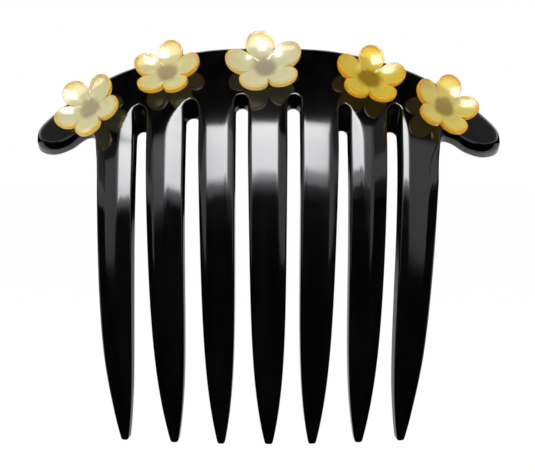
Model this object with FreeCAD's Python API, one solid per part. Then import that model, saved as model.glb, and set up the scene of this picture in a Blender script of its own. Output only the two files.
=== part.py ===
import FreeCAD, Part
import math
import os

from FreeCAD import Vector

# Decorative hair comb: one curved horn plate (bar and seven teeth) with five resin flowers glued to its bar.
# Frame, mm: +X along the bar, +Z up from the teeth to the bar, the decorated convex face looks along -Y.
# The origin is inside the root of the middle tooth, where the hair leaves downwards.

os.makedirs("parts", exist_ok=True)

# ---- curvature of the horn plate -------------------------------------------------------------
BAR_RADIUS = 52.0            # front profile above the teeth, bending back over the head
TEETH_RADIUS = 110.0         # front profile of the teeth
JOIN_TILT = 8.0              # degrees, tilt of the face where the two profile arcs meet
SEAT_TILT = 34.0             # degrees, tilt of the face at the origin's height
PLAN_RADIUS = 95.0           # radius about the vertical axis at the foremost line of the face
SEAT_DEPTH = 2.1             # the face stands this far in front of the origin

# ---- thickness of the plate, by height -------------------------------------------------------
BLANK_TOP = 16.0
TIP_HEIGHT = -73.3
THICKNESS = [(16.0, 4.0), (4.0, 4.8), (-10.0, 4.2), (-40.0, 3.7), (-62.0, 2.9), (-73.3, 1.9)]

# ---- outline of the bar, seen from the front (x, z) ------------------------------------------
RIM_RIGHT = [(0.0, 11.3), (14.7, 10.5), (30.4, 6.4), (39.8, 1.6), (46.5, -3.1), (50.2, -7.2), (50.0, -10.3),
             (46.8, -11.4), (42.7, -10.4), (39.3, -8.3), (37.3, -8.0), (36.4, -12.0)]
RIM_LEFT = [(-14.7, 10.5), (-31.9, 5.9), (-39.8, 1.5), (-46.1, -2.9), (-49.7, -6.7), (-49.5, -9.7),
            (-46.4, -10.8), (-42.4, -9.7), (-38.9, -7.3), (-37.1, -7.2), (-36.3, -11.4)]
SIDE_ROOT_Z = -17.0          # below this the outer edges of the outer teeth take over
RIM_ROUND = 1.2              # rounding of the rim towards the face

# ---- teeth: face centre at the root and at the tip, width at the root, how late the tooth leans --
TEETH = [(-32.35, -30.5, 7.4, 3.0), (-21.75, -19.75, 8.0, 1.9), (-10.75, -9.8, 7.75, 1.2),
         (0.05, 0.25, 8.35, 1.2), (11.05, 9.4, 8.0, 1.2), (21.5, 19.3, 8.2, 1.6), (32.35, 28.4, 7.9, 1.35)]
ROOT_Z = -11.0
NARROWING = 0.19             # share of the width lost evenly along the tooth
TIP_TAPER = 0.62             # share of the width lost in the last stretch
TIP_POWER = 5.5

# ---- gaps: height of the rounded top at the face, and slope of the sawn ceiling ----------------
GAP_TOPS = [-2.0, -0.9, 0.2, 0.2, -1.9, -1.8]
GAP_SLOPES = [58.0, 50.0, 42.0, 42.0, 57.0, 58.0]
LEAD = 12.0                  # prisms start this far in front of the face
REACH = 60.0                 # and end this far behind it

# ---- bevels filed along the front edges of the teeth: full width on the left and right edge -----
BEVELS = [(1.8, 3.2), (1.5, 3.6), (1.6, 1.7), (0.8, 2.0), (0.8, 1.8), (3.9, 3.5), (2.4, 2.0)]
BEVEL_SLOPE = 0.36           # depth of a bevel at the edge, as a share of its width
BEVEL_RUN = 7.0              # height over which a bevel opens from nothing to its full width

# ---- flowers: face position (x, z), turn about the face, petal radius and ring radius ----------
FLOWERS = {
    "far_left": (-37.1, -3.6, -21.0, 2.80, 4.85),
    "left": (-20.9, 3.8, 0.5, 2.70, 4.70),
    "centre": (-0.6, 4.8, 11.0, 3.05, 5.30),
    "right": (21.2, 2.5, -13.0, 2.80, 4.85),
    "far_right": (36.8, -3.3, -25.0, 2.75, 4.70),
}
PETALS = 5
PETAL_THICKNESS = 1.5
PETAL_DISH = 9.0             # radius of the hollow face of a petal
PETAL_RISE = 20.0            # degrees, petals rise outwards
CENTRE_RADIUS = 2.9
CENTRE_THICKNESS = 1.3
GLUE_RADIUS = 2.6
GLUE_THICKNESS = 0.5

# ---- derived centres of the profile arcs -----------------------------------------------------
seat = math.radians(SEAT_TILT)
join = math.radians(JOIN_TILT)
BAR_CZ = -BAR_RADIUS * math.sin(seat)
JOIN_Z = BAR_CZ + BAR_RADIUS * math.sin(join)
TEETH_CZ = JOIN_Z - TEETH_RADIUS * math.sin(join)
BAR_CY = -SEAT_DEPTH + BAR_RADIUS * math.cos(seat)
TEETH_CY = BAR_CY + (TEETH_RADIUS - BAR_RADIUS) * math.cos(join)
AXIS_Y = TEETH_CY - TEETH_RADIUS + PLAN_RADIUS


def tilt(z):
    """Tilt of the face at height z, radians; positive where it looks upwards."""
    if z >= JOIN_Z:
        return math.asin((z - BAR_CZ) / BAR_RADIUS)
    return math.asin((z - TEETH_CZ) / TEETH_RADIUS)


def face_y(z):
    """Depth of the face on the middle line at height z."""
    if z >= JOIN_Z:
        return BAR_CY - BAR_RADIUS * math.cos(tilt(z))
    return TEETH_CY - TEETH_RADIUS * math.cos(tilt(z))


def on_face(x, z):
    """Point of the doubly curved face seen at (x, z) from the front."""
    radius = AXIS_Y - face_y(z)
    return Vector(x, AXIS_Y - math.sqrt(radius * radius - x * x), z)


def face_normal(x, z):
    """Outward normal of the face at (x, z)."""
    turn = math.asin(x / (AXIS_Y - face_y(z)))
    lean = tilt(z)
    return Vector(math.cos(lean) * math.sin(turn), -math.cos(lean) * math.cos(turn), math.sin(lean))


def thickness(z):
    """Plate thickness at height z, linear between the stations."""
    for (z1, t1), (z2, t2) in zip(THICKNESS, THICKNESS[1:]):
        if z >= z2:
            return t1 + (t2 - t1) * (z1 - z) / (z1 - z2)
    return THICKNESS[-1][1]


def spline(points):
    curve = Part.BSplineCurve()
    curve.interpolate(points)
    return curve.toShape()


def make_blank():
    """Horn plate before sawing: the profile turned about the vertical axis."""
    front_top = Vector(0, face_y(BLANK_TOP), BLANK_TOP)
    front_join = Vector(0, face_y(JOIN_Z), JOIN_Z)
    front_tip = Vector(0, face_y(TIP_HEIGHT), TIP_HEIGHT)
    bar_mid_z = (BLANK_TOP + JOIN_Z) / 2
    teeth_mid_z = (JOIN_Z + TIP_HEIGHT) / 2
    bar_arc = Part.Arc(front_top, Vector(0, face_y(bar_mid_z), bar_mid_z), front_join).toShape()
    teeth_arc = Part.Arc(front_join, Vector(0, face_y(teeth_mid_z), teeth_mid_z), front_tip).toShape()
    back = []
    for z, depth in THICKNESS:
        lean = tilt(z)
        back.append(Vector(0, face_y(z) + depth * math.cos(lean), z - depth * math.sin(lean)))
    back_curve = spline(back[::-1])
    tip_end = Part.LineSegment(front_tip, back[-1]).toShape()
    top_end = Part.LineSegment(back[0], front_top).toShape()
    profile = Part.Face(Part.Wire([bar_arc, teeth_arc, tip_end, back_curve, top_end]))
    axis_point = Vector(0, AXIS_Y, 0)
    half_angle = 36.0
    profile.rotate(axis_point, Vector(0, 0, 1), -half_angle)
    return profile.revolve(axis_point, Vector(0, 0, 1), 2 * half_angle)


def saw_direction(x, z, slope):
    """Direction of a saw cut made square to the plan curve at (x, z), sinking by slope degrees."""
    turn = math.asin(x / (AXIS_Y - face_y(z)))
    drop = math.radians(slope)
    return Vector(-math.sin(turn) * math.cos(drop), math.cos(turn) * math.cos(drop), -math.sin(drop))


def sawn_prism(runs, direction):
    """Prism along the saw direction whose outline passes through front-view points on the face.

    runs is a closed chain of curves, each a list of (x, z); two points make a straight line.
    """
    edges = []
    for run in runs:
        flat = []
        for x, z in run:
            point = on_face(x, z)
            flat.append(point - direction * (direction.dot(point) + LEAD))
        if len(flat) == 2:
            edges.append(Part.LineSegment(flat[0], flat[1]).toShape())
        else:
            edges.append(spline(flat))
    face = Part.Face(Part.Wire(edges))
    return face.extrude(direction * (LEAD + REACH))


def tooth_edge(index, side, z):
    """x of a tooth's face edge at height z; side is -1 for left and +1 for right."""
    root_x, tip_x, width, lateness = TEETH[index]
    t = max(0.0, (ROOT_Z - z) / (ROOT_Z - TIP_HEIGHT))
    centre = root_x + (tip_x - root_x) * t ** lateness
    half = 0.5 * width * (1 - NARROWING * t - TIP_TAPER * t ** TIP_POWER)
    return centre + side * half


def edge_heights(top):
    """Heights from a tooth's root to beyond its tip, closer together where the edge curves."""
    steps = [0.0, 0.18, 0.36, 0.52, 0.66, 0.78, 0.88, 0.95, 1.0, 1.06]
    return [top + (TIP_HEIGHT - top) * s for s in steps]


def make_outline():
    """Outline of the whole comb: bar with its lobes, then the outer edges of the outer teeth."""
    heights = edge_heights(SIDE_ROOT_Z)
    right = RIM_RIGHT + [(tooth_edge(6, 1, z), z) for z in heights]
    left = RIM_LEFT + [(tooth_edge(0, -1, z), z) for z in heights]
    chain = left[::-1] + right
    closing = [right[-1], left[-1]]
    return sawn_prism([chain, closing], saw_direction(0.0, 0.0, SEAT_TILT))


def make_gap(index):
    """Saw cut between two neighbouring teeth, with a round top and open at the tips."""
    top = GAP_TOPS[index]
    left_x = tooth_edge(index, 1, top)
    right_x = tooth_edge(index + 1, -1, top)
    radius = (right_x - left_x) / 2
    middle = (right_x + left_x) / 2
    shoulder = top - radius
    heights = edge_heights(shoulder)
    left = [(tooth_edge(index, 1, z), z) for z in heights]
    right = [(tooth_edge(index + 1, -1, z), z) for z in heights]
    bend = math.sqrt(0.5)
    arch = [left[0], (middle - radius * bend, shoulder + radius * bend), (middle, top),
            (middle + radius * bend, shoulder + radius * bend), right[0]]
    runs = [arch, right, [right[-1], left[-1]], left[::-1]]
    return sawn_prism(runs, saw_direction(middle, top, GAP_SLOPES[index]))


def bevel_cutter(index, side):
    """Wedge that takes off a front edge of a tooth, opening from nothing at the gap's top."""
    if side > 0:
        top = GAP_TOPS[min(index, 5)]
    else:
        top = GAP_TOPS[max(index - 1, 0)]
    opening = [top - 0.5, top - 2.0, top - 3.5, top - 5.0, top - 7.0]
    sections = []
    for z in opening + edge_heights(top - BEVEL_RUN - 1.0):
        share = min(1.0, (top - z) / BEVEL_RUN)
        t = max(0.0, (ROOT_Z - z) / (ROOT_Z - TIP_HEIGHT))
        scale = math.sin(share * math.pi / 2) * (1 - NARROWING * t - TIP_TAPER * t ** TIP_POWER)
        wide = BEVELS[index][side > 0] * scale
        edge = tooth_edge(index, side, z)
        inner = on_face(edge - side * wide, z)
        outer = on_face(edge, z) - face_normal(edge, z) * BEVEL_SLOPE * wide
        run = (outer - inner).normalize()
        normal = face_normal(edge, z)
        start = inner - run * 1.0
        end = outer + run * 0.6
        sections.append(Part.makePolygon([start, end, end + normal * 4.0, start + normal * 2.0, start]))
    return Part.makeLoft(sections, True, False)


def make_petal(radius, ring, turn):
    """Shallow bowl of even thickness, hollow side forwards, rising outwards from the flower's middle."""
    outer = PETAL_DISH + PETAL_THICKNESS
    depth = PETAL_DISH - math.sqrt(PETAL_DISH ** 2 - radius ** 2)
    hollow = Part.makeSphere(PETAL_DISH, Vector(0, 0, PETAL_DISH))
    back = Part.makeSphere(outer, Vector(0, 0, PETAL_DISH))
    drum = Part.makeCylinder(radius, depth + PETAL_THICKNESS, Vector(0, 0, -PETAL_THICKNESS))
    petal = drum.common(back).cut(hollow)
    petal.rotate(Vector(0, 0, 0), Vector(0, 1, 0), -PETAL_RISE)
    petal.translate(Vector(ring, 0, PETAL_THICKNESS + radius * math.sin(math.radians(PETAL_RISE)) * 0.75))
    petal.rotate(Vector(0, 0, 0), Vector(0, 0, 1), turn)
    return petal


def make_flower(radius, ring, turn):
    """Flower lying on the XY plane, its face towards +Z."""
    flower = Part.makeCylinder(CENTRE_RADIUS, CENTRE_THICKNESS + 0.4)
    for step in range(PETALS):
        flower = flower.fuse(make_petal(radius, ring, 90.0 + turn + step * 360.0 / PETALS))
    return flower.removeSplitter()


def seat_on_face(shape, x, z, lift):
    """Move a shape drawn on the XY plane onto the comb's face at (x, z)."""
    normal = face_normal(x, z)
    upward = Vector(0, 0, 1) - normal * normal.z
    upward.normalize()
    across = upward.cross(normal)
    place = FreeCAD.Placement(on_face(x, z) + normal * lift, FreeCAD.Rotation(across, upward, normal, "ZXY"))
    moved = shape.copy()
    moved.Placement = place
    return moved


def rounded_rim(body):
    """Round the long edges of the sawn outline, leaving the two short ones at the tips sharp."""
    outline_length = 200.0
    tip_length = 5.0
    edges = []
    for face in body.Faces:
        if face.Surface.TypeId == "Part::GeomSurfaceOfExtrusion":
            edges += [edge for edge in face.Edges if tip_length < edge.Length < outline_length]
    return body.makeFillet(RIM_ROUND, edges)


def make_comb_body():
    """Blank cut to its outline, rim rounded, teeth bevelled, then the gaps sawn."""
    body = rounded_rim(make_blank().common(make_outline()).Solids[0])
    gaps = [make_gap(index) for index in range(len(GAP_TOPS))]
    bevels = [bevel_cutter(index, side) for index in range(len(TEETH)) for side in (-1, 1)]
    return body.cut(bevels).cut(gaps)


def make_glue(x, z, flower):
    """Thin bed of adhesive between the comb's face and the back of a flower."""
    bed = seat_on_face(Part.makeCylinder(GLUE_RADIUS, GLUE_THICKNESS * 2), x, z, -GLUE_THICKNESS)
    return bed.cut(flower)


comb = make_comb_body()
comb.exportStep("parts/comb_body.step")
for name, (x, z, turn, radius, ring) in FLOWERS.items():
    flower = seat_on_face(make_flower(radius, ring, turn), x, z, GLUE_THICKNESS)
    glue = make_glue(x, z, flower).cut(comb)
    flower.exportStep("parts/flower_" + name + ".step")
    glue.exportStep("parts/glue_" + name + ".step")
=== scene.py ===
"""Decorative hair comb: polished black horn with five cast resin flowers on its bar."""

import math

import bmesh
import bpy
import numpy as np
from mathutils import Matrix, Vector


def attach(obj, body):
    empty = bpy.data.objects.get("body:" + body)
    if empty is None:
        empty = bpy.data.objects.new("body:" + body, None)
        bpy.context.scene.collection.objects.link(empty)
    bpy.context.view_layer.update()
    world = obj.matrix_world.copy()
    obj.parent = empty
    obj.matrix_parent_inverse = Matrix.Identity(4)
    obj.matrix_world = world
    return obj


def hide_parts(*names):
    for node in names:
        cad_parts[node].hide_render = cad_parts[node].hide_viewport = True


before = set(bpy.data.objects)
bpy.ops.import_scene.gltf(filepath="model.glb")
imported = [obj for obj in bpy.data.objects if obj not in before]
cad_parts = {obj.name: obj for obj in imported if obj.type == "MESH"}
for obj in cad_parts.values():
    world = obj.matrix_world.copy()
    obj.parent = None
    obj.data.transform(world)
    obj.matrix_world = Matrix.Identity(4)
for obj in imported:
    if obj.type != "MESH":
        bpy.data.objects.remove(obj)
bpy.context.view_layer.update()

MM = 0.001

# ---- curvature of the horn plate, mm and degrees (the same curves as the CAD) ----
BAR_RADIUS = 52.0
TEETH_RADIUS = 110.0
JOIN_TILT = 8.0
SEAT_TILT = 34.0
PLAN_RADIUS = 95.0
SEAT_DEPTH = 2.1
TIP_HEIGHT = -73.3
THICKNESS_Z = (-73.3, -62.0, -40.0, -10.0, 4.0, 16.0)
THICKNESS_MM = (1.9, 2.9, 3.7, 4.2, 4.8, 4.0)

# ---- teeth: face centre at the root and at the tip, width at the root, how late the tooth leans ----
TEETH = ((-32.35, -30.5, 7.4, 3.0), (-21.75, -19.75, 8.0, 1.9), (-10.75, -9.8, 7.75, 1.2),
         (0.05, 0.25, 8.35, 1.2), (11.05, 9.4, 8.0, 1.2), (21.5, 19.3, 8.2, 1.6), (32.35, 28.4, 7.9, 1.35))
MIDDLE_TOOTH = 3
ROOT_Z = -11.0
NARROWING = 0.19
TIP_TAPER = 0.62
TIP_POWER = 5.5
GAP_TOPS = (-2.0, -0.9, 0.2, 0.2, -1.9, -1.8)
# ---- edges: bevels filed along the teeth, and roundings ----
# full width of the bevel on the left and right edge of each tooth
BEVELS = ((1.8, 2.9), (1.5, 3.3), (1.6, 1.7), (0.8, 2.0), (0.8, 1.8), (2.4, 3.5), (1.3, 2.0))
BEVEL_SLOPE = 0.36
BEVEL_RUN = 7.0              # height over which a bevel opens
BEVEL_BELOW_LOBE = 1.0       # how far below the lobe's lower side the outermost bevels start
BEVEL_REACH = 3.8            # half width of horn that takes a full bevel
BEVEL_DISHING = 1.08         # a little over one: the bevels are slightly hollow
BEVEL_CORNER = 0.05
FULLY_OPEN = 60.0
RIM_ROUND = 1.7
TOOTH_ROUND = 0.35
BACK_ROUND = 0.9
ROUND_REACH = 2.0            # half width of horn that takes full roundings
ROUND_THICKNESS = 4.0        # thickness of horn that takes a full rounding at the back
ROUND_BLENDS = 6             # passes that run one rounding into the next
SAW_SHARE = 0.45             # how far the wall of the bar leans from square towards the saw cut
SAW_RUN_OUT = -22.0          # height at which the wall stops leaning, over SAW_FADE
SAW_TIP = -66.0              # height at which the tip's square wall begins, over SAW_FADE
SAW_FADE = 10.0
GAP_SINKS = (4.2, 2.1, 0.9, 0.9, 4.0, 4.4)      # how much lower the gap's top lies at the back

# ---- outline of the bar, seen from the front (x, z) ----
RIM_RIGHT = ((0.0, 11.3), (14.7, 10.5), (30.4, 6.4), (39.8, 1.6), (46.5, -3.1), (50.2, -7.2), (50.0, -10.3),
             (46.8, -11.4), (42.7, -10.4), (39.3, -8.3), (37.3, -8.0), (36.4, -12.0), (36.15, -17.0))
RIM_LEFT = ((0.0, 11.3), (-14.7, 10.5), (-31.9, 5.9), (-39.8, 1.5), (-46.1, -2.9), (-49.7, -6.7),
            (-49.5, -9.7), (-46.4, -10.8), (-42.4, -9.7), (-38.9, -7.3), (-37.1, -7.2), (-36.3, -11.4),
            (-36.0, -17.0))
BAR_MID_Z = 5.2
BAR_MID_DROP = 3.4
OUTER_TOOTH_X = 32.1

FLOWERS = {
    "far_left": dict(x=-37.1, z=-3.6, turn=-21.0, petal=2.80, ring=4.85),
    "left": dict(x=-20.9, z=3.8, turn=0.5, petal=2.70, ring=4.70),
    "centre": dict(x=-0.6, z=4.8, turn=11.0, petal=3.05, ring=5.30),
    "right": dict(x=21.2, z=2.5, turn=-13.0, petal=2.80, ring=4.85),
    "far_right": dict(x=36.8, z=-3.3, turn=-25.0, petal=2.75, ring=4.70),
}
GLUE_THICKNESS = 0.5

seat = math.radians(SEAT_TILT)
join = math.radians(JOIN_TILT)
BAR_CZ = -BAR_RADIUS * math.sin(seat)
JOIN_Z = BAR_CZ + BAR_RADIUS * math.sin(join)
TEETH_CZ = JOIN_Z - TEETH_RADIUS * math.sin(join)
BAR_CY = -SEAT_DEPTH + BAR_RADIUS * math.cos(seat)
TEETH_CY = BAR_CY + (TEETH_RADIUS - BAR_RADIUS) * math.cos(join)
AXIS_Y = TEETH_CY - TEETH_RADIUS + PLAN_RADIUS


# ---- the doubly curved face ----
def face_frame(x, z):
    """Points of the face seen at (x, z) from the front, and its outward normals, in mm."""
    x = np.asarray(x, float)
    z = np.asarray(z, float)
    upper = z >= JOIN_Z
    lean = np.where(upper, np.arcsin((z - BAR_CZ) / BAR_RADIUS), np.arcsin((z - TEETH_CZ) / TEETH_RADIUS))
    depth = np.where(upper, BAR_CY - BAR_RADIUS * np.cos(lean), TEETH_CY - TEETH_RADIUS * np.cos(lean))
    radius = AXIS_Y - depth
    turn = np.arcsin(x / radius)
    point = np.stack([x, AXIS_Y - radius * np.cos(turn), z], -1)
    normal = np.stack([np.cos(lean) * np.sin(turn), -np.cos(lean) * np.cos(turn), np.sin(lean)], -1)
    return point, normal


def plate_thickness(z):
    return np.interp(z, THICKNESS_Z, THICKNESS_MM)


def tooth_share(z):
    t = np.clip((ROOT_Z - np.asarray(z, float)) / (ROOT_Z - TIP_HEIGHT), 0.0, None)
    return t, 1 - NARROWING * t - TIP_TAPER * t ** TIP_POWER


def tooth_centre(index, z):
    root_x, tip_x, _, lateness = TEETH[index]
    return root_x + (tip_x - root_x) * tooth_share(z)[0] ** lateness


def tooth_edge(index, side, z):
    return tooth_centre(index, z) + side * 0.5 * TEETH[index][2] * tooth_share(z)[1]


# ---- the comb: ribbons of quads between its outline and a middle line ----
TOP_STATIONS = 9             # middle-line points of a tooth beside the gap's round top
ROOT_STATIONS = 22           # of which this many lie beside the rounded outer root
LONG_STATIONS = 64           # and from there to the tip
BAR_STATIONS = 16            # middle-line points of the bar between two teeth
LOBE_STATIONS = 16
TIP_FAN = 7
TIP_END = 0.45               # the middle line stops this far above the tip
TIP_SQUARENESS = 0.6         # below one the tip's outline is squarer than a half ellipse
RIM_MARKS = ((34.6, 3.7), (47.9, -5.6), (46.6, -11.1), (37.8, -8.1))   # where the rim's stations change
LOBE_MIDDLE = (46.0, -7.6)
LOBE_BEND = (0.8, 0.9)       # how far the lobe's middle line bulges from straight
BLEND_STATIONS = 6.0         # stations over which the rim runs into the tooth's side
WALL_STRAIGHTENS = 4.0       # height below a gap's top over which its sloping ceiling dies out
LOBE_FAN = 22
SHARES = np.array([0.0, 0.015, 0.04, 0.08, 0.13, 0.19, 0.26, 0.34, 0.43, 0.52, 0.62, 0.74, 0.87, 1.0])
WALL_ROWS = 4
COMB_WELD = 2e-6             # doubled points closer than this are merged, m
SHOULDER_DROP = 1.75         # the round top of a gap is a little shallower than this


def catmull(points, per_span=24):
    """Smooth curve through points, as a dense polyline."""
    p = np.array(points, float)
    p = np.vstack([2 * p[0] - p[1], p, 2 * p[-1] - p[-2]])
    out = []
    for a, b, c, d in zip(p, p[1:], p[2:], p[3:]):
        ab = np.linalg.norm(b - a) ** 0.5
        bc = ab + np.linalg.norm(c - b) ** 0.5
        cd = bc + np.linalg.norm(d - c) ** 0.5
        for t in np.linspace(ab, bc, per_span, endpoint=False):
            a1 = a * (ab - t) / ab + b * t / ab
            a2 = b * (bc - t) / (bc - ab) + c * (t - ab) / (bc - ab)
            a3 = c * (cd - t) / (cd - bc) + d * (t - bc) / (cd - bc)
            b1 = a1 * (bc - t) / bc + a2 * t / bc
            b2 = a2 * (cd - t) / (cd - ab) + a3 * (t - ab) / (cd - ab)
            out.append(b1 * (bc - t) / (bc - ab) + b2 * (t - ab) / (bc - ab))
    out.append(p[-2])
    return np.array(out)


def cut_evenly(line, starts, counts):
    """Points along a polyline, counts[i] of them between the places nearest starts[i] and starts[i + 1]."""
    length = np.concatenate([[0.0], np.cumsum(np.linalg.norm(np.diff(line, axis=0), axis=1))])
    at = [length[np.argmin(np.linalg.norm(line - np.array(s), axis=1))] for s in starts]
    places = []
    for a, b, n in zip(at, at[1:], counts):
        places += list(np.linspace(a, b, n, endpoint=False))
    places.append(at[-1])
    return np.stack([np.interp(places, length, line[:, k]) for k in (0, 1)], -1)


def bar_middle(x):
    return BAR_MID_Z - BAR_MID_DROP * (x / OUTER_TOOTH_X) ** 2


def tooth_stations(index, shoulder):
    """Middle line of a tooth from the bar's middle line down to just above its tip."""
    top = bar_middle(TEETH[index][0])
    upper = np.linspace(top, shoulder, TOP_STATIONS, endpoint=False)
    share = np.linspace(0.0, 1.0, LONG_STATIONS)
    lower = shoulder + (TIP_HEIGHT + TIP_END - shoulder) * share
    return np.concatenate([upper, lower])


def shoulder_of(index):
    """Height at which both walls of a tooth are straight."""
    tops = [GAP_TOPS[k] for k in (index - 1, index) if 0 <= k < len(GAP_TOPS)]
    return min(tops) - SHOULDER_DROP


def gap_shape(k):
    top = GAP_TOPS[k]
    left = tooth_edge(k, 1, top)
    right = tooth_edge(k + 1, -1, top)
    radius = (right - left) / 2
    return (right + left) / 2, top - radius, radius


def above_tips(points):
    """One along the sawn outer outline, fading to nothing towards a tip."""
    return np.clip((points[:, 1] - SAW_TIP) / SAW_FADE, 0, 1)


def comb_loop():
    """The outline walked once round, each point with its partner on the middle line.

    Returns outline points, partners, how far each sinks towards the back, the height below the gap's
    top that opens the bevel (nothing on the bar's rim), the bevel's full width, and how far the wall
    behind the point follows the straight saw cut of the outer outline.
    """
    outline, partner, sink, bevel, filed, outer = [], [], [], [], [], []

    def add(points, partners, sinks, opened, widths, sawn=0.0):
        outline.extend(points)
        partner.extend(partners)
        sink.extend(np.broadcast_to(sinks, len(points)))
        bevel.extend(np.broadcast_to(opened, len(points)))
        filed.extend(np.broadcast_to(widths, len(points)))
        outer.extend(np.broadcast_to(sawn, len(points)))

    def middle_of(index):
        z = tooth_stations(index, shoulder_of(index))
        return np.stack([tooth_centre(index, z), z], -1)

    def lobe_spine(side):
        start = np.array([TEETH[MIDDLE_TOOTH + side * MIDDLE_TOOTH][0], bar_middle(OUTER_TOOTH_X)])
        end = np.array([side * LOBE_MIDDLE[0], LOBE_MIDDLE[1]])
        bend = (start + end) / 2 + np.array([side * LOBE_BEND[0], LOBE_BEND[1]])
        t = np.linspace(0, 1, LOBE_STATIONS)[:, None]
        return (1 - t) ** 2 * start + 2 * t * (1 - t) * bend + t ** 2 * end

    def tip_fan(index):
        half = tooth_edge(index, 1, TIP_HEIGHT) - tooth_centre(index, TIP_HEIGHT)
        angle = np.linspace(0, math.pi, TIP_FAN + 2)[1:-1]
        across = np.sign(np.cos(angle)) * np.abs(np.cos(angle)) ** TIP_SQUARENESS
        z = TIP_HEIGHT + TIP_END * (1 - np.abs(np.sin(angle)) ** TIP_SQUARENESS)
        return np.stack([tooth_centre(index, TIP_HEIGHT) + half * across, z], -1)

    def rim_side(side, rim, index):
        spine = lobe_spine(side)
        middle = middle_of(index)
        line = catmull(rim)
        roots = [TEETH[MIDDLE_TOOTH + side * step][0] for step in range(MIDDLE_TOOTH + 1)]
        nodes = [np.linspace(a, b, BAR_STATIONS, endpoint=False) for a, b in zip(roots, roots[1:])]
        nodes = np.concatenate(nodes + [[roots[-1]]])
        bar = np.stack([nodes, bar_middle(nodes)], -1)
        marks = [rim[0]] + [(side * x, z) for x, z in RIM_MARKS] + [rim[-1]]
        counts = [len(bar) - 1, LOBE_STATIONS - 1, LOBE_FAN, LOBE_STATIONS - 1, ROOT_STATIONS]
        top = cut_evenly(line, marks, counts)
        low_count = len(middle) - ROOT_STATIONS
        edge = np.stack([tooth_edge(index, side, middle[-low_count:, 1]), middle[-low_count:, 1]], -1)
        edge[:, 0] += (top[-1][0] - edge[0, 0]) * np.exp(-np.arange(len(edge)) / BLEND_STATIONS)
        points = np.vstack([top[:-1], edge])
        fan = np.repeat(spine[-1:], LOBE_FAN - 1, axis=0)
        partners = np.vstack([bar[:-1], spine, fan, spine[::-1][:-1], middle])
        corner = sum(counts[:-1])
        opened = np.zeros(len(points))
        opened[corner:] = np.clip(top[corner][1] - BEVEL_BELOW_LOBE - points[corner:, 1], 0, None)
        return points, partners, opened

    def add_tip(index):
        fan = tip_fan(index)
        end = np.repeat(middle_of(index)[-1:], len(fan), axis=0)
        add(fan, end, 0.0, FULLY_OPEN, np.linspace(BEVELS[index][1], BEVELS[index][0], len(fan)))

    def add_wall(k, index, side):
        """Wall of a tooth along gap k: upwards on a tooth's left, downwards on its right."""
        middle = middle_of(index)[TOP_STATIONS:]
        if side < 0:
            middle = middle[::-1]
        z = middle[:, 1]
        shoulder = gap_shape(k)[1]
        wall = np.stack([tooth_edge(index, side, np.minimum(z, shoulder)), z], -1)
        sunk = GAP_SINKS[k] * np.exp(-(shoulder - z).clip(0) / WALL_STRAIGHTENS)
        add(wall, middle, sunk, (GAP_TOPS[k] - z).clip(0), BEVELS[index][side > 0])

    last = len(TEETH) - 1
    right, right_partner, right_open = rim_side(1, RIM_RIGHT, last)
    add(right, right_partner, 0.0, right_open, BEVELS[last][1], above_tips(right))
    for k in range(len(GAP_TOPS) - 1, -1, -1):
        centre, shoulder, radius = gap_shape(k)
        add_tip(k + 1)
        add_wall(k, k + 1, -1)
        angle = np.linspace(0, math.pi, 2 * TOP_STATIONS + BAR_STATIONS + 1)[1:-1]
        arch = np.stack([centre + radius * np.cos(angle), shoulder + radius * np.sin(angle)], -1)
        nodes = np.linspace(TEETH[k + 1][0], TEETH[k][0], BAR_STATIONS + 1)
        bar = np.stack([nodes, bar_middle(nodes)], -1)
        upwards = middle_of(k + 1)[TOP_STATIONS - 1:0:-1]
        partners = np.vstack([upwards, bar, middle_of(k)[1:TOP_STATIONS]])
        add(arch, partners[:len(arch)], GAP_SINKS[k], (GAP_TOPS[k] - arch[:, 1]).clip(0),
            np.linspace(BEVELS[k + 1][0], BEVELS[k][1], len(arch)))
        add_wall(k, k, 1)
    left, left_partner, left_open = rim_side(-1, RIM_LEFT, 0)
    add_tip(0)
    left = left[::-1][:-1]
    add(left, left_partner[::-1][:-1], 0.0, left_open[::-1][:-1], BEVELS[0][0], above_tips(left))
    return [np.array(values) for values in (outline, partner, sink, bevel, filed, outer)]


def quarter_round(distance, radius):
    """Depth below the face at a distance from a rounded edge."""
    inside = np.clip(radius - distance, 0, radius)
    return radius - np.sqrt(np.clip(radius ** 2 - inside ** 2, 0, None))


def inward(normal, z, outer):
    """Direction from the face into the plate: against the normal, or along the outer outline's saw cut."""
    lean = np.arcsin(normal[:, 2])
    slope = lean + SAW_SHARE * (seat - lean) * np.clip((z - SAW_RUN_OUT) / SAW_FADE, 0, 1)
    saw = np.stack([np.zeros(len(z)), np.cos(slope), -np.sin(slope)], -1)
    saw /= -np.sum(saw * normal, axis=1)[:, None]
    return -normal + (saw + normal) * outer[:, None]


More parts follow.
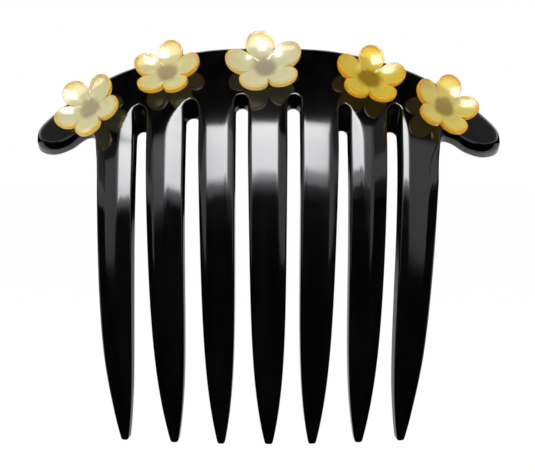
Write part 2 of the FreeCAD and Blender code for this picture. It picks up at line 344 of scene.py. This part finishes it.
def build_comb():
    outline, partner, sink, opened, filed, outer = comb_loop()
    n = len(outline)
    reach = np.linalg.norm(partner - outline, axis=1)
    on_tooth = np.clip(opened / BEVEL_RUN, 0, 1)
    scale = np.minimum(1.0, reach / BEVEL_REACH)
    bevel_width = filed * np.sin(on_tooth * math.pi / 2) * scale + BEVEL_CORNER
    bevel_depth = BEVEL_SLOPE * filed * np.sin(on_tooth * math.pi / 2) * scale
    is_tooth = opened > 0
    front_round = np.where(is_tooth, TOOTH_ROUND, RIM_ROUND) * np.clip(reach / ROUND_REACH, 0.2, 1.0)
    for _ in range(ROUND_BLENDS):
        front_round = (np.roll(front_round, 1) + front_round + np.roll(front_round, -1)) / 3
    thin = np.clip(plate_thickness(outline[:, 1]) / ROUND_THICKNESS, 0.4, 1)
    back_round = BACK_ROUND * np.clip(reach / ROUND_REACH, 0.25, 1.0) * thin
    rows = []
    for share in SHARES[::-1]:
        flat = outline + (partner - outline) * share
        distance = reach * share
        depth = quarter_round(distance, front_round)
        depth = depth + bevel_depth * np.clip(1 - distance / bevel_width, 0, 1) ** BEVEL_DISHING
        point, normal = face_frame(flat[:, 0], flat[:, 1])
        rows.append(point + inward(normal, flat[:, 1], outer * (1 - share)) * depth[:, None])
    edge_front = quarter_round(0, front_round) + bevel_depth
    edge_back = plate_thickness(outline[:, 1]) - back_round
    sunk = outline - np.stack([np.zeros(n), sink], -1)
    for step in range(1, WALL_ROWS + 1):
        share = step / (WALL_ROWS + 1)
        flat = outline + (sunk - outline) * share
        point, normal = face_frame(flat[:, 0], flat[:, 1])
        depth = edge_front + (edge_back - edge_front) * share
        rows.append(point + inward(normal, flat[:, 1], outer) * depth[:, None])
    for share in SHARES:
        base = sunk + (outline - sunk) * share
        flat = base + (partner - base) * share
        distance = np.linalg.norm(partner - sunk, axis=1) * share
        point, normal = face_frame(flat[:, 0], flat[:, 1])
        depth = plate_thickness(flat[:, 1]) - quarter_round(distance, back_round)
        rows.append(point + inward(normal, flat[:, 1], outer * (1 - share)) * depth[:, None])
    verts = np.vstack(rows)
    faces = []
    for r in range(len(rows) - 1):
        a = r * n
        b = (r + 1) * n
        for i in range(n):
            j = (i + 1) % n
            faces.append((a + i, b + i, b + j, a + j))
    return new_mesh("comb_of_horn", verts, faces, COMB_WELD)


def face_outward(mesh):
    bm = bmesh.new()
    bm.from_mesh(mesh)
    bmesh.ops.recalc_face_normals(bm, faces=bm.faces)
    bm.to_mesh(mesh)
    bm.free()


def new_mesh(name, verts_mm, faces, merge):
    """Mesh object at the origin from points in mm; doubled points are merged and faces turned outward."""
    mesh = bpy.data.meshes.new(name)
    mesh.from_pydata([tuple(v) for v in np.asarray(verts_mm) * MM], [], faces)
    bm = bmesh.new()
    bm.from_mesh(mesh)
    bmesh.ops.remove_doubles(bm, verts=bm.verts, dist=merge)
    bmesh.ops.dissolve_degenerate(bm, edges=bm.edges, dist=1e-7)
    bm.to_mesh(mesh)
    bm.free()
    face_outward(mesh)
    mesh.shade_smooth()
    obj = bpy.data.objects.new(name, mesh)
    bpy.context.scene.collection.objects.link(obj)
    return obj


# ---- nodes used by the flowers, the materials and the studio ----
def calc(tree, operation, *values):
    """Math node fed with sockets or plain numbers."""
    node = tree.nodes.new("ShaderNodeMath")
    node.operation = operation
    for place, value in zip(node.inputs, values):
        if isinstance(value, (int, float)):
            place.default_value = value
        else:
            tree.links.new(value, place)
    return node.outputs["Value"]


# ---- flowers: one spoon-shaped petal with its wedge of the middle, repeated round the flower's axis ----
PETALS = 5
ACROSS_PETAL = 64
FLOWER_SHARES = np.concatenate([np.linspace(0, 0.8, 17), [0.85, 0.895, 0.93, 0.955, 0.975, 0.99, 1.0]])
RESIN_MM = 1.50
PETAL_LIFT = 0.40            # slope at which a petal rises from the middle
PETAL_CURL = 0.15            # how much steeper it gets outwards, as a power
PETAL_HOLLOW = 0.60          # depth of its spoon-shaped face
HOLLOW_STARTS = 1.0          # radii between which the hollow reaches its depth, mm
HOLLOW_FULL = 3.0
BACK_LIFT = 0.97             # share of the face's rise that the back follows
FLAT_MIDDLE = 1.9
NOTCH = 0.70                 # how far in the notch between two petals reaches, as a share of the ring
PETAL_SHUT = 0.985           # share of a petal's radius at which its outline turns into the notch
SEAM_WIDTH = 0.16            # of the groove along a seam, radians
SEAM_DEPTH = 0.12
SEAM_STARTS = 0.75           # radii between which the groove reaches its depth, mm
SEAM_FULL = 3.25
RESIN_ROUND = 0.45
BACK_ROUNDING = 0.9          # share of that rounding on the back
GLOW_BAND = 1.2               # width of the saturated rim with its painted glow, mm
WELD = 1e-6                  # seams between petals closer than this are joined, m


def petal_reach(off, petal, ring):
    """Radius of a petal's outline at an angle off its middle line."""
    half_step = math.pi / PETALS
    reach = ring * np.cos(off) + np.sqrt(np.clip(petal ** 2 - (ring * np.sin(off)) ** 2, 0, None))
    closed = np.abs(ring * np.sin(off)) >= petal * PETAL_SHUT
    edge = half_step
    if petal * PETAL_SHUT < ring * math.sin(half_step):
        edge = math.asin(petal * PETAL_SHUT / ring)
    depth = np.clip((np.abs(off) - edge) / max(half_step - edge, 1e-3), 0, 1)
    return np.where(closed, reach * (1 - depth) + ring * NOTCH * depth, reach)


def build_petal(name, petal, ring):
    """One petal lying along +X with its wedge of the flower's middle; open only on its two seams."""
    off = np.linspace(-math.pi / PETALS, math.pi / PETALS, ACROSS_PETAL + 1)
    reach = petal_reach(off, petal, ring)
    front, back = [], []
    for share in FLOWER_SHARES:
        radius = reach * share
        u = np.hypot(radius * np.cos(off) - ring, radius * np.sin(off)) / petal
        climb = PETAL_LIFT * np.clip(radius - FLAT_MIDDLE, 0, None) ** (1 + PETAL_CURL) / ring ** PETAL_CURL
        seam = np.exp(-((np.abs(off) - math.pi / PETALS) / SEAM_WIDTH) ** 2)
        groove = SEAM_DEPTH * seam * np.clip((radius - SEAM_STARTS) / (SEAM_FULL - SEAM_STARTS), 0, 1)
        to_edge = np.minimum(reach * (1 - share), 3.0)
        dug = np.clip((radius - HOLLOW_STARTS) / (HOLLOW_FULL - HOLLOW_STARTS), 0, 1)
        spoon = PETAL_HOLLOW * np.clip(1 - u ** 2, 0, 1) * dug
        face_height = RESIN_MM + climb - spoon - groove - quarter_round(to_edge, RESIN_ROUND)
        back_height = climb * BACK_LIFT + quarter_round(to_edge, RESIN_ROUND) * BACK_ROUNDING
        flat = (radius * np.cos(off), radius * np.sin(off))
        front.append(np.stack([*flat, face_height], -1))
        back.append(np.stack([*flat, back_height], -1))
    rows = back + front[::-1]
    columns = ACROSS_PETAL + 1
    faces = [(r * columns + i, r * columns + i + 1, (r + 1) * columns + i + 1, (r + 1) * columns + i)
             for r in range(len(rows) - 1) for i in range(ACROSS_PETAL)]
    obj = new_mesh(name, np.vstack(rows), faces, WELD)
    mesh = obj.data
    co = np.empty(len(mesh.vertices) * 3)
    mesh.vertices.foreach_get("co", co)
    place = co.reshape(-1, 3) / MM
    radius = np.hypot(place[:, 0], place[:, 1])
    edge = petal_reach(np.arctan2(place[:, 1], place[:, 0]), petal, ring)
    # the rim mask carries the painted glow: one at the outline, fading to nothing over the glow band
    rim = mesh.attributes.new("rim", "FLOAT", "POINT")
    rim.data.foreach_set("value", np.clip(1 - (edge - radius) / GLOW_BAND, 0, 1).astype(np.float32))
    # the core share of the radius is the mask of the painted shade in the middle
    core = mesh.attributes.new("core", "FLOAT", "POINT")
    core.data.foreach_set("value", (radius / (ring + petal)).astype(np.float32))
    return obj


def petal_ring():
    """Tree that repeats a petal round the flower's axis and welds the seams; returns it with its inputs."""
    tree = bpy.data.node_groups.new("ring_of_petals", "GeometryNodeTree")
    sockets = {}
    kinds = dict(Petal="Geometry", Petals="Int", Turn="Float", Weld="Float", Resin="Material")
    for label, kind in kinds.items():
        socket = tree.interface.new_socket(label, in_out="INPUT", socket_type="NodeSocket" + kind)
        sockets[label] = socket.identifier
    tree.interface.new_socket("Flower", in_out="OUTPUT", socket_type="NodeSocketGeometry")
    given = tree.nodes.new("NodeGroupInput")
    made = tree.nodes.new("NodeGroupOutput")
    centres = tree.nodes.new("GeometryNodePoints")
    number = tree.nodes.new("GeometryNodeInputIndex")
    step = calc(tree, "DIVIDE", 2 * math.pi, given.outputs["Petals"])
    angle = calc(tree, "MULTIPLY_ADD", number.outputs["Index"], step, given.outputs["Turn"])
    spin = tree.nodes.new("ShaderNodeCombineXYZ")
    euler = tree.nodes.new("FunctionNodeEulerToRotation")
    repeat = tree.nodes.new("GeometryNodeInstanceOnPoints")
    real = tree.nodes.new("GeometryNodeRealizeInstances")
    weld = tree.nodes.new("GeometryNodeMergeByDistance")
    cast = tree.nodes.new("GeometryNodeSetMaterial")
    link = tree.links.new
    link(given.outputs["Petals"], centres.inputs["Count"])
    link(angle, spin.inputs["Z"])
    link(spin.outputs["Vector"], euler.inputs["Euler"])
    link(centres.outputs[0], repeat.inputs["Points"])
    link(given.outputs["Petal"], repeat.inputs["Instance"])
    link(euler.outputs["Rotation"], repeat.inputs["Rotation"])
    link(repeat.outputs["Instances"], real.inputs["Geometry"])
    link(real.outputs["Geometry"], weld.inputs["Geometry"])
    link(given.outputs["Weld"], weld.inputs["Distance"])
    link(weld.outputs["Geometry"], cast.inputs["Geometry"])
    link(given.outputs["Resin"], cast.inputs["Material"])
    link(cast.outputs["Geometry"], made.inputs["Flower"])
    return tree, sockets


def seat_of(x, z):
    """Placement of a flower's middle on the glue over the comb's face at (x, z)."""
    origin, normal = face_frame(x, z)
    origin = origin + normal * GLUE_THICKNESS
    up = np.array([0, 0, 1.0]) - normal * normal[2]
    up /= np.linalg.norm(up)
    across = np.cross(up, normal)
    place = Matrix.Identity(4)
    for row in range(3):
        place[row][0], place[row][1], place[row][2] = across[row], up[row], normal[row]
        place[row][3] = origin[row] * MM
    return place


def build_flower(name, tree, sockets, resin, x, z, turn, petal, ring):
    obj = build_petal("petals_" + name, petal, ring)
    ring_of_petals = obj.modifiers.new("ring_of_petals", "NODES")
    ring_of_petals.node_group = tree
    ring_of_petals[sockets["Petals"]] = PETALS
    ring_of_petals[sockets["Turn"]] = math.radians(90.0 + turn)
    ring_of_petals[sockets["Weld"]] = WELD
    ring_of_petals[sockets["Resin"]] = resin
    seen = obj.evaluated_get(bpy.context.evaluated_depsgraph_get())
    flower = bpy.data.meshes.new_from_object(seen)
    obj.modifiers.remove(ring_of_petals)
    obj.data = flower
    flower.transform(seat_of(x, z))
    face_outward(flower)
    flower.shade_smooth()
    return obj


# ---- materials ----
def node_material(name):
    material = bpy.data.materials.new(name)
    material.use_nodes = True
    tree = material.node_tree
    tree.nodes.clear()
    output = tree.nodes.new("ShaderNodeOutputMaterial")
    return material, tree, output


def object_noise(tree, scale, detail, stretch=(1.0, 1.0, 1.0)):
    where = tree.nodes.new("ShaderNodeTexCoord")
    mapping = tree.nodes.new("ShaderNodeMapping")
    mapping.inputs["Scale"].default_value = stretch
    noise = tree.nodes.new("ShaderNodeTexNoise")
    noise.inputs["Scale"].default_value = scale
    noise.inputs["Detail"].default_value = detail
    tree.links.new(where.outputs["Object"], mapping.inputs["Vector"])
    tree.links.new(mapping.outputs["Vector"], noise.inputs["Vector"])
    return noise


def ramp(tree, source, stops):
    node = tree.nodes.new("ShaderNodeValToRGB")
    elements = node.color_ramp.elements
    first, last = stops[0], stops[-1]
    elements[1].position = last[0]
    elements[1].color = (*last[1], 1.0)
    elements[0].position = first[0]
    elements[0].color = (*first[1], 1.0)
    for place, colour in stops[1:-1]:
        elements.new(place).color = (*colour, 1.0)
    tree.links.new(source, node.inputs["Fac"])
    return node


def span(tree, source, low, high, to_low, to_high):
    node = tree.nodes.new("ShaderNodeMapRange")
    node.inputs["From Min"].default_value = low
    node.inputs["From Max"].default_value = high
    node.inputs["To Min"].default_value = to_low
    node.inputs["To Max"].default_value = to_high
    tree.links.new(source, node.inputs["Value"])
    return node.outputs["Result"]


def bump(tree, height, strength, distance, below=None):
    """Normal disturbed by a height field, on top of another disturbed normal if one is given."""
    node = tree.nodes.new("ShaderNodeBump")
    node.inputs["Strength"].default_value = strength
    node.inputs["Distance"].default_value = distance
    tree.links.new(height, node.inputs["Height"])
    if below is not None:
        tree.links.new(below, node.inputs["Normal"])
    return node.outputs["Normal"]


# how far the lower face of each tooth leans forwards, mm, from left to right
TOOTH_LIES = (1.15, 0.35, -0.35, -0.55, -0.95, -1.10, -0.45)
LIE_RANGE = 1.2
LIE_HALF_SPAN = 0.038        # x reached to each side, m
LIE_STARTS = -0.004          # heights between which the lean sets in, m
LIE_SET = -0.026
GAPS_AT = -15.0              # height at which the middle of a gap parts two teeth, mm


def tooth_lie(tree):
    """Height field, in metres, that leans each tooth's polished face a little its own way below its root."""
    where = tree.nodes.new("ShaderNodeTexCoord")
    parts = tree.nodes.new("ShaderNodeSeparateXYZ")
    tree.links.new(where.outputs["Object"], parts.inputs["Vector"])
    along = span(tree, parts.outputs["X"], -LIE_HALF_SPAN, LIE_HALF_SPAN, 0.0, 1.0)
    centres = [tooth_centre(k, GAPS_AT) * MM for k in range(len(TEETH))]
    gaps = [(a + b) / 2 for a, b in zip(centres, centres[1:])]
    edges = [0.0] + [(gap + LIE_HALF_SPAN) / (2 * LIE_HALF_SPAN) for gap in gaps]
    greys = [0.5 + value / (2 * LIE_RANGE) for value in TOOTH_LIES]
    steps = ramp(tree, along, [(place, (grey, grey, grey)) for place, grey in zip(edges, greys)])
    steps.color_ramp.interpolation = "CONSTANT"
    lean = span(tree, steps.outputs["Color"], 0.0, 1.0, -LIE_RANGE * MM, LIE_RANGE * MM)
    fall = tree.nodes.new("ShaderNodeMapRange")
    fall.interpolation_type = "SMOOTHSTEP"
    fall.inputs["From Min"].default_value = LIE_STARTS
    fall.inputs["From Max"].default_value = LIE_SET
    tree.links.new(parts.outputs["Z"], fall.inputs["Value"])
    return calc(tree, "MULTIPLY", lean, fall.outputs["Result"])


def black_horn():
    material, tree, output = node_material("polished_black_horn")
    shader = tree.nodes.new("ShaderNodeBsdfPrincipled")
    shader.inputs["IOR"].default_value = 1.45
    shader.inputs["Coat Weight"].default_value = 0.10
    shader.inputs["Coat Roughness"].default_value = 0.04
    grain = object_noise(tree, 260.0, 5.0, (1.0, 1.0, 0.12))
    colour = ramp(tree, grain.outputs["Fac"],
                  [(0.35, (0.0009, 0.0008, 0.0009)), (0.75, (0.0036, 0.0030, 0.0028))])
    tree.links.new(colour.outputs["Color"], shader.inputs["Base Color"])
    haze = object_noise(tree, 90.0, 3.0)
    tree.links.new(span(tree, haze.outputs["Fac"], 0.3, 0.7, 0.07, 0.16), shader.inputs["Roughness"])
    waves = object_noise(tree, 70.0, 2.0, (1.0, 1.0, 0.55))
    scratches = object_noise(tree, 2600.0, 2.0, (1.0, 1.0, 0.04))
    soft = bump(tree, waves.outputs["Fac"], 0.35, 0.0003)
    fine = bump(tree, scratches.outputs["Fac"], 0.04, 0.00002, soft)
    lie = bump(tree, tooth_lie(tree), 1.0, 1.0, fine)
    tree.links.new(lie, shader.inputs["Normal"])
    tree.links.new(shader.outputs["BSDF"], output.inputs["Surface"])
    return material


MIDDLE_SHADE_RAGGEDNESS = 0.24      # how unevenly the painted shade in a flower's middle ends


def yellow_resin(name, face, rim_glow, middle):
    """Cast resin: clear yellow faces, saturated rims whose colour is a painted glow, and a darker middle
    where it is stuck to the horn, painted shade of the black horn seen through the resin.
    """
    material, tree, output = node_material("resin_" + name)
    shader = tree.nodes.new("ShaderNodeBsdfPrincipled")
    shader.inputs["IOR"].default_value = 1.45
    shader.inputs["Roughness"].default_value = 0.16
    shader.inputs["Transmission Weight"].default_value = 0.58
    shader.inputs["Subsurface Weight"].default_value = 0.5
    shader.inputs["Subsurface Radius"].default_value = (1.0, 0.85, 0.45)
    shader.inputs["Subsurface Scale"].default_value = 0.0012
    rim = tree.nodes.new("ShaderNodeAttribute")
    rim.attribute_name = "rim"
    core = tree.nodes.new("ShaderNodeAttribute")
    core.attribute_name = "core"
    cloud = object_noise(tree, 420.0, 3.0)
    # the rim colour is a painted glow of light through the resin's thick edge, fading in over the glow band
    edge = ramp(tree, rim.outputs["Fac"], [(0.0, face), (0.30, face), (0.80, rim_glow), (1.0, rim_glow)])
    patch = object_noise(tree, 300.0, 2.0)
    # painted shade: the middle darkens where the black horn shows through the glued resin, with a ragged end
    wobble = calc(tree, "MULTIPLY_ADD", patch.outputs["Fac"], MIDDLE_SHADE_RAGGEDNESS, core.outputs["Fac"])
    painted_middle_shade = span(tree, wobble, 0.36, 0.50, 1.0, 0.0)
    mix = tree.nodes.new("ShaderNodeMix")
    mix.data_type = "RGBA"
    tree.links.new(painted_middle_shade, mix.inputs["Factor"])
    tree.links.new(edge.outputs["Color"], mix.inputs["A"])
    mix.inputs["B"].default_value = (*middle, 1.0)
    tree.links.new(mix.outputs["Result"], shader.inputs["Base Color"])
    tree.links.new(bump(tree, cloud.outputs["Fac"], 0.15, 0.0002), shader.inputs["Normal"])
    tree.links.new(shader.outputs["BSDF"], output.inputs["Surface"])
    return material


def clear_glue():
    material, tree, output = node_material("cured_adhesive")
    shader = tree.nodes.new("ShaderNodeBsdfPrincipled")
    shader.inputs["Roughness"].default_value = 0.2
    shader.inputs["Subsurface Weight"].default_value = 0.4
    shader.inputs["Subsurface Scale"].default_value = 0.001
    cloud = object_noise(tree, 500.0, 2.0)
    colour = ramp(tree, cloud.outputs["Fac"], [(0.3, (0.20, 0.16, 0.07)), (0.7, (0.36, 0.30, 0.15))])
    tree.links.new(colour.outputs["Color"], shader.inputs["Base Color"])
    tree.links.new(shader.outputs["BSDF"], output.inputs["Surface"])
    return material


# per flower: face colour, rim colour with its painted glow, middle colour with painted shade of the horn
# seen through
RESINS = {
    "far_left": ((0.98, 0.92, 0.58), (1.0, 0.64, 0.15), (0.62, 0.56, 0.36)),
    "left": ((0.98, 0.90, 0.48), (1.0, 0.58, 0.06), (0.60, 0.52, 0.30)),
    "centre": ((0.98, 0.92, 0.60), (1.0, 0.68, 0.22), (0.58, 0.54, 0.38)),
    "right": ((0.96, 0.76, 0.10), (1.0, 0.52, 0.02), (0.44, 0.29, 0.02)),
    "far_right": ((0.97, 0.84, 0.26), (1.0, 0.50, 0.03), (0.52, 0.42, 0.13)),
}

horn = black_horn()
glue = clear_glue()
comb = build_comb()
comb.data.materials.append(horn)
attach(comb, "root")
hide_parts("comb_body")
petal_tree, petal_sockets = petal_ring()
for name, sizes in FLOWERS.items():
    flower = build_flower(name, petal_tree, petal_sockets, yellow_resin(name, *RESINS[name]), **sizes)
    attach(flower, "root")
    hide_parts("flower_" + name)
    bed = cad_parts["glue_" + name]
    bed.data.materials.clear()
    bed.data.materials.append(glue)


# ---- studio ----
CAMERA_FROM = 0.380
CAMERA_RISE = 3.0
AIM_Z = -0.02968
LENS = 120.6
FLOOR_Z = -0.100
COMB_MIDDLE = (0, 0, -0.01)
WINDOW_FROM = (0, 23, 1.1)   # azimuth, elevation, distance
WINDOW_SIZE = (3.6, 1.254)
WINDOW_STRENGTH = 21.0
SILL_BOW = 0.42              # how much lower the bright part reaches towards the sides
SILL_UNEVENNESS = 0.12
KEY_FROM = (-20, 50, 0.9)
KEY_SIZE = (0.6, 0.4)
KEY_WATTS = 4.0
VELVET_Y = -0.785
VELVET_SIZE = (5.0, 1.63)
PATCH_STEP = 6               # degrees between the points of a drape
FLOOR_GLOW = 1.03            # of the floor where it is seen directly
FLOOR_GLOW_SHARE = 0.9
SKY_LIGHT = 0.8              # what the white surroundings shed on the comb

# name, distance, low and high elevation, left and right azimuth, glow
DRAPES = (("drape_low", 2.70, -89, 9, -180, 180, 0.0),
          ("drape_front", 2.60, 8, 89, -62, 62, 0.0),
          ("drape_behind", 1.40, 44, 89, 62, 298, 0.0),
          ("grey_drape_left", 1.42, 18, 45, -125, -62, 0.3),
          ("grey_drape_right", 1.42, 18, 45, 62, 125, 0.3))


def polar(azimuth, elevation, distance):
    """Place seen from the comb: azimuth 0 is in front (-Y), positive to the right."""
    a = math.radians(azimuth)
    e = math.radians(elevation)
    x, y = distance * math.sin(a) * math.cos(e), -distance * math.cos(a) * math.cos(e)
    return (x, y, distance * math.sin(e) + COMB_MIDDLE[2])


def studio_mesh(name, verts, faces):
    mesh = bpy.data.meshes.new(name)
    mesh.from_pydata(verts, [], faces)
    obj = bpy.data.objects.new(name, mesh)
    bpy.context.scene.collection.objects.link(obj)
    return obj


def shine(obj, material_name, strength):
    """Gives an object a plain white glow, black without strength; returns its tree and the emission node."""
    material, tree, output = node_material(material_name)
    shader = tree.nodes.new("ShaderNodeEmission")
    shader.inputs["Color"].default_value = (1.0, 1.0, 1.0, 1.0)
    shader.inputs["Strength"].default_value = strength
    tree.links.new(shader.outputs["Emission"], output.inputs["Surface"])
    obj.data.materials.append(material)
    return tree, shader


def only_in_reflections(obj):
    obj.visible_camera = False
    obj.visible_diffuse = False
    obj.visible_transmission = False
    obj.visible_volume_scatter = False
    obj.visible_shadow = False


def card(name, centre, size, towards):
    """Flat rectangular panel facing a point, seen only in reflections."""
    w, h = size[0] / 2, size[1] / 2
    obj = studio_mesh(name, [(-w, -h, 0), (w, -h, 0), (w, h, 0), (-w, h, 0)], [(0, 1, 2, 3)])
    aim = (Vector(towards) - Vector(centre)).to_track_quat("Z", "Y")
    obj.matrix_world = Matrix.Translation(centre) @ aim.to_matrix().to_4x4()
    only_in_reflections(obj)
    return obj


def dome_patch(name, radius, low, high, left, right, glow):
    """Drape seen only in reflections: part of a sphere round the comb, in degrees up and round."""
    steps_e = max(2, int(abs(high - low) / PATCH_STEP))
    steps_a = max(2, int(abs(right - left) / PATCH_STEP))
    verts = [polar(left + (right - left) * j / steps_a, low + (high - low) * i / steps_e, radius)
             for i in range(steps_e + 1) for j in range(steps_a + 1)]
    row = steps_a + 1
    faces = [(i * row + j, i * row + j + 1, (i + 1) * row + j + 1, (i + 1) * row + j)
             for i in range(steps_e) for j in range(steps_a)]
    obj = studio_mesh(name, verts, faces)
    shine(obj, name + "_cloth", glow)
    only_in_reflections(obj)


def grey(value):
    return (value, value, value)


def window_card():
    """Softbox with the look of a bright window: even in the middle, fading sideways and along its sill."""
    obj = card("window_light", polar(*WINDOW_FROM), WINDOW_SIZE, COMB_MIDDLE)
    tree, emission = shine(obj, "window_light_surface", WINDOW_STRENGTH)
    where = tree.nodes.new("ShaderNodeTexCoord")
    parts = tree.nodes.new("ShaderNodeSeparateXYZ")
    tree.links.new(where.outputs["Object"], parts.inputs["Vector"])
    x = parts.outputs["X"]
    across = ramp(tree, calc(tree, "ABSOLUTE", x),
                  [(0.0, grey(1)), (0.33, grey(0.92)), (0.41, grey(0.24)), (0.60, grey(0.09)),
                   (0.92, grey(0.05))])
    noise = object_noise(tree, 15.0, 6.0)
    bow = calc(tree, "MULTIPLY", x, x)
    lifted = calc(tree, "MULTIPLY_ADD", bow, SILL_BOW, parts.outputs["Y"])
    sill = calc(tree, "MULTIPLY_ADD", noise.outputs["Fac"], SILL_UNEVENNESS, lifted)
    down = ramp(tree, span(tree, sill, -0.36, 0.64, 0.0, 1.0),
                [(0.0, grey(0)), (0.27, grey(0)), (0.322, (0.08, 0.08, 0.09)), (0.406, (0.14, 0.14, 0.15)),
                 (0.445, (0.86, 0.86, 0.89)), (0.715, (0.9, 0.9, 0.94)), (0.918, grey(1))])
    both = tree.nodes.new("ShaderNodeMix")
    both.data_type = "RGBA"
    both.blend_type = "MULTIPLY"
    both.inputs["Factor"].default_value = 1.0
    tree.links.new(across.outputs["Color"], both.inputs["A"])
    tree.links.new(down.outputs["Color"], both.inputs["B"])
    tree.links.new(both.outputs["Result"], emission.inputs["Color"])


def place_camera():
    data = bpy.data.cameras.new("camera")
    data.lens = LENS
    data.sensor_width = 36.0
    data.clip_start = 0.01
    camera = bpy.data.objects.new("camera", data)
    bpy.context.scene.collection.objects.link(camera)
    rise = math.radians(CAMERA_RISE)
    camera.location = (0.0, -CAMERA_FROM * math.cos(rise), AIM_Z + CAMERA_FROM * math.sin(rise))
    camera.rotation_euler = (math.radians(90.0) - rise, 0.0, 0.0)
    bpy.context.scene.camera = camera


def soft_key():
    data = bpy.data.lights.new("soft_key", "AREA")
    data.shape = "RECTANGLE"
    data.size, data.size_y = KEY_SIZE
    data.energy = KEY_WATTS
    key = bpy.data.objects.new("soft_key", data)
    bpy.context.scene.collection.objects.link(key)
    key.location = polar(*KEY_FROM)
    key.rotation_euler = (Vector((0, 0, 0)) - key.location).to_track_quat("-Z", "Y").to_euler()
    key.visible_glossy = False


def pale_floor():
    """Floor that is white where it is seen and matt pale grey to the comb's light."""
    corners = [(-3, -3, FLOOR_Z), (3, -3, FLOOR_Z), (3, 3, FLOOR_Z), (-3, 3, FLOOR_Z)]
    floor = studio_mesh("studio_floor", corners, [(0, 1, 2, 3)])
    material, tree, output = node_material("pale_floor")
    surface = tree.nodes.new("ShaderNodeBsdfDiffuse")
    surface.inputs["Color"].default_value = (0.8, 0.8, 0.8, 1.0)
    glow = tree.nodes.new("ShaderNodeEmission")
    glow.inputs["Strength"].default_value = FLOOR_GLOW
    paths = tree.nodes.new("ShaderNodeLightPath")
    seen = calc(tree, "MAXIMUM", paths.outputs["Is Camera Ray"], paths.outputs["Is Transmission Ray"])
    mix = tree.nodes.new("ShaderNodeMixShader")
    tree.links.new(calc(tree, "MULTIPLY", seen, FLOOR_GLOW_SHARE), mix.inputs["Fac"])
    tree.links.new(surface.outputs["BSDF"], mix.inputs[1])
    tree.links.new(glow.outputs["Emission"], mix.inputs[2])
    tree.links.new(mix.outputs["Shader"], output.inputs["Surface"])
    floor.data.materials.append(material)


def white_world():
    """Surroundings that are white where they are seen and a little dimmer as a light."""
    world = bpy.data.worlds.new("studio")
    bpy.context.scene.world = world
    world.use_nodes = True
    tree = world.node_tree
    tree.nodes.clear()
    paths = tree.nodes.new("ShaderNodeLightPath")
    seen = calc(tree, "MAXIMUM", paths.outputs["Is Camera Ray"], paths.outputs["Is Glossy Ray"])
    seen = calc(tree, "MAXIMUM", seen, paths.outputs["Is Transmission Ray"])
    chosen = tree.nodes.new("ShaderNodeMixShader")
    tree.links.new(seen, chosen.inputs["Fac"])
    for place, strength in ((1, SKY_LIGHT), (2, 1.0)):
        sky = tree.nodes.new("ShaderNodeBackground")
        sky.inputs["Color"].default_value = (1, 1, 1, 1)
        sky.inputs["Strength"].default_value = strength
        tree.links.new(sky.outputs["Background"], chosen.inputs[place])
    out = tree.nodes.new("ShaderNodeOutputWorld")
    tree.links.new(chosen.outputs["Shader"], out.inputs["Surface"])


place_camera()
window_card()
for drape in DRAPES:
    dome_patch(*drape)
soft_key()
velvet = card("black_velvet", (0.0, VELVET_Y, FLOOR_Z + 0.002), VELVET_SIZE, (0.0, VELVET_Y, 1.0))
shine(velvet, "black_velvet_surface", 0.0)
pale_floor()
white_world()

bpy.context.scene.view_settings.view_transform = "Standard"
